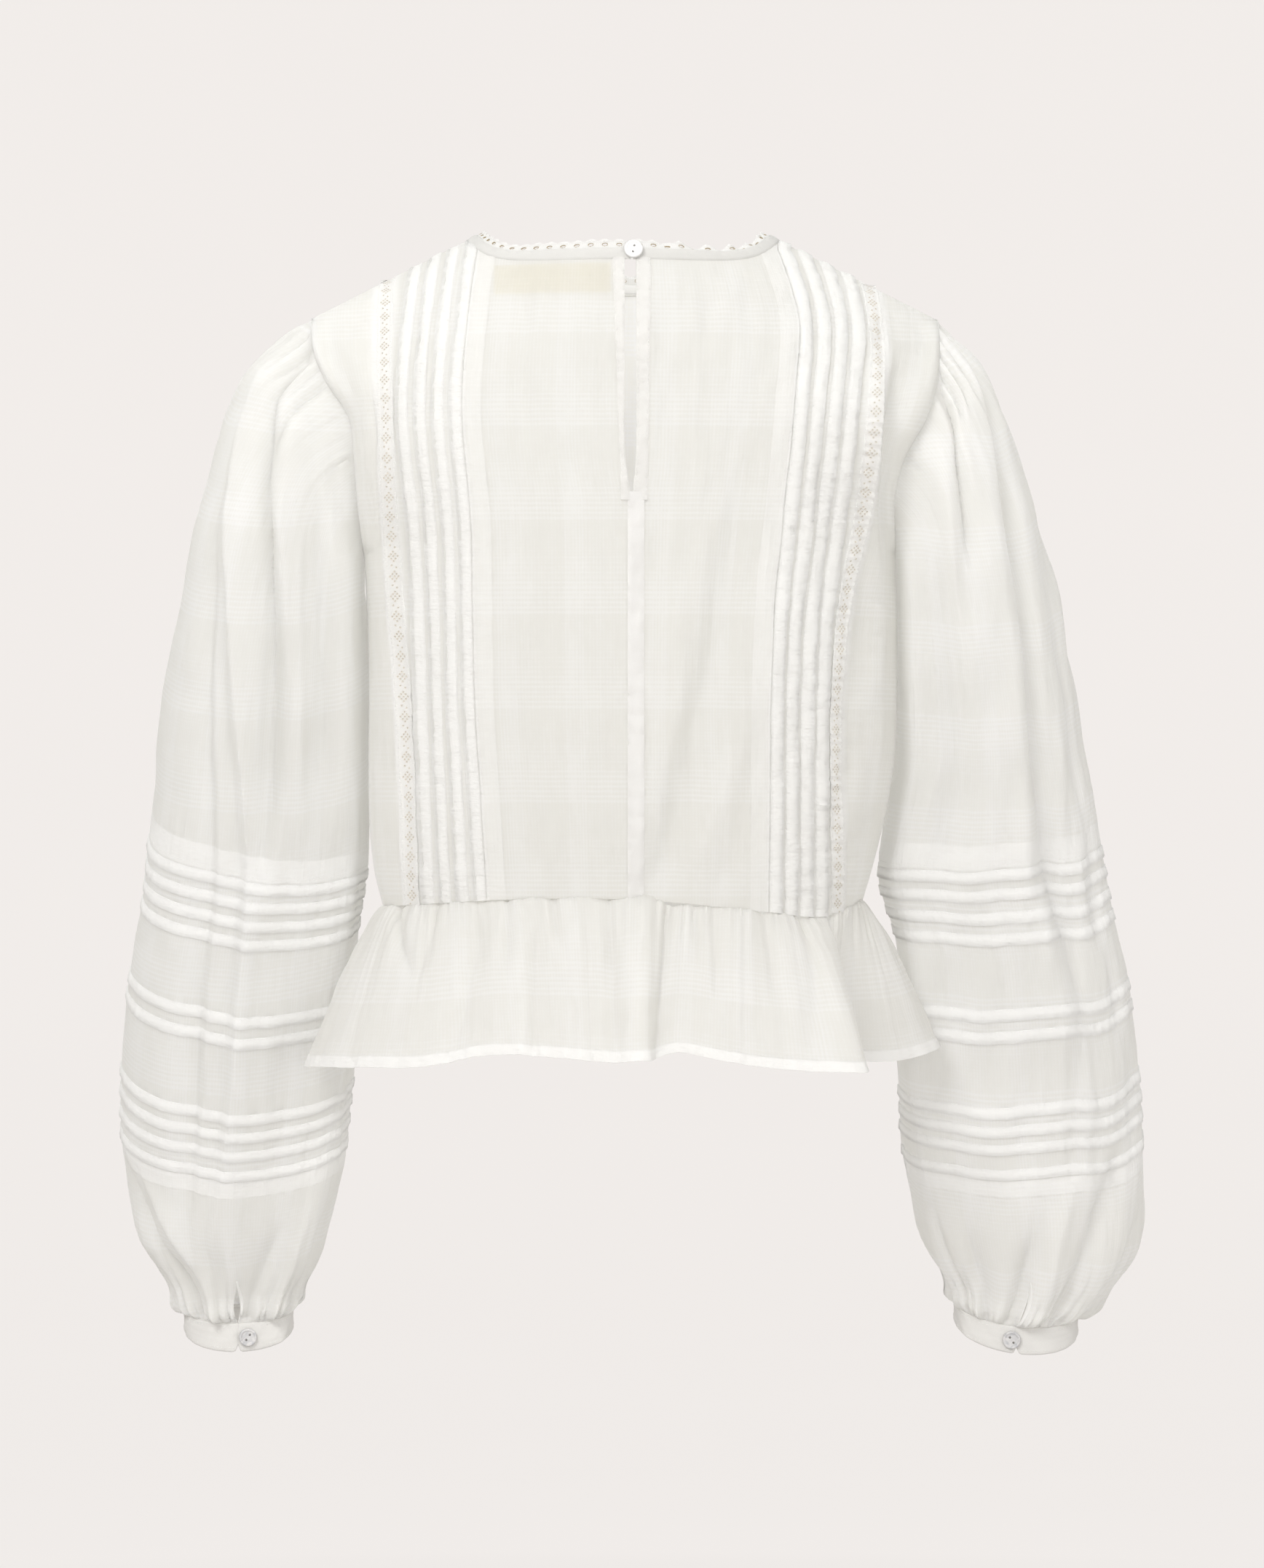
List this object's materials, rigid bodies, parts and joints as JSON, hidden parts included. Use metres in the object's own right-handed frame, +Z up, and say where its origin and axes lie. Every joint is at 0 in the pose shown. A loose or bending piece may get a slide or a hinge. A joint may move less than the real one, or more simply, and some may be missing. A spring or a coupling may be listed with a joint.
{
  "type": "victorian blouse",
  "caption": "Back-opening blouse with a lace-edged neck, vertical tucks and lace strips, long full tucked sleeves with buttoned cuffs, and a gathered peplum.",
  "frame": {"origin": "midway between the shoulders at the height of the shoulder line by the neck, where the wearer holds the blouse up", "axes": "+Z up the body, +Y out of the wearer's front, so the back with its opening faces -Y, +X to the wearer's right"},
  "size_m": [0.6541, 0.2826, 0.7071],
  "materials": {
    "cloth": "off-white cotton voile with a tonal woven check, matt, slightly see-through",
    "tucked_cloth": "the same voile in sewn tucks, whiter where it lies double",
    "lace": "cotton bobbin-style lace with small eyelets, matt",
    "band": "voile folded double and stitched, matt, whiter than the single cloth",
    "label": "blank cream woven tape",
    "neck_button": "white shell-look button, soft gloss",
    "cuff_button": "grey-blue mother-of-pearl-look button, gloss"
  },
  "bodies": {
    "root": {"back_left": "tucked_cloth", "back_right": "tucked_cloth", "lace_strip_left": "lace", "lace_strip_right": "lace", "back_side_left": "cloth", "back_side_right": "cloth", "front": "cloth", "slit_facing_left": "band", "slit_facing_right": "band", "centre_back_band": "band", "neck_binding": "band", "neck_lace_edging": "lace", "neck_label": "label", "neck_button": "neck_button", "sleeve_left": "cloth", "sleeve_right": "cloth", "placket_left": "band", "placket_right": "band", "cuff_left": "band", "cuff_right": "band", "cuff_button_left": "cuff_button", "cuff_button_right": "cuff_button", "peplum_back": "cloth", "peplum_front": "cloth"}
  },
  "joints": []
}
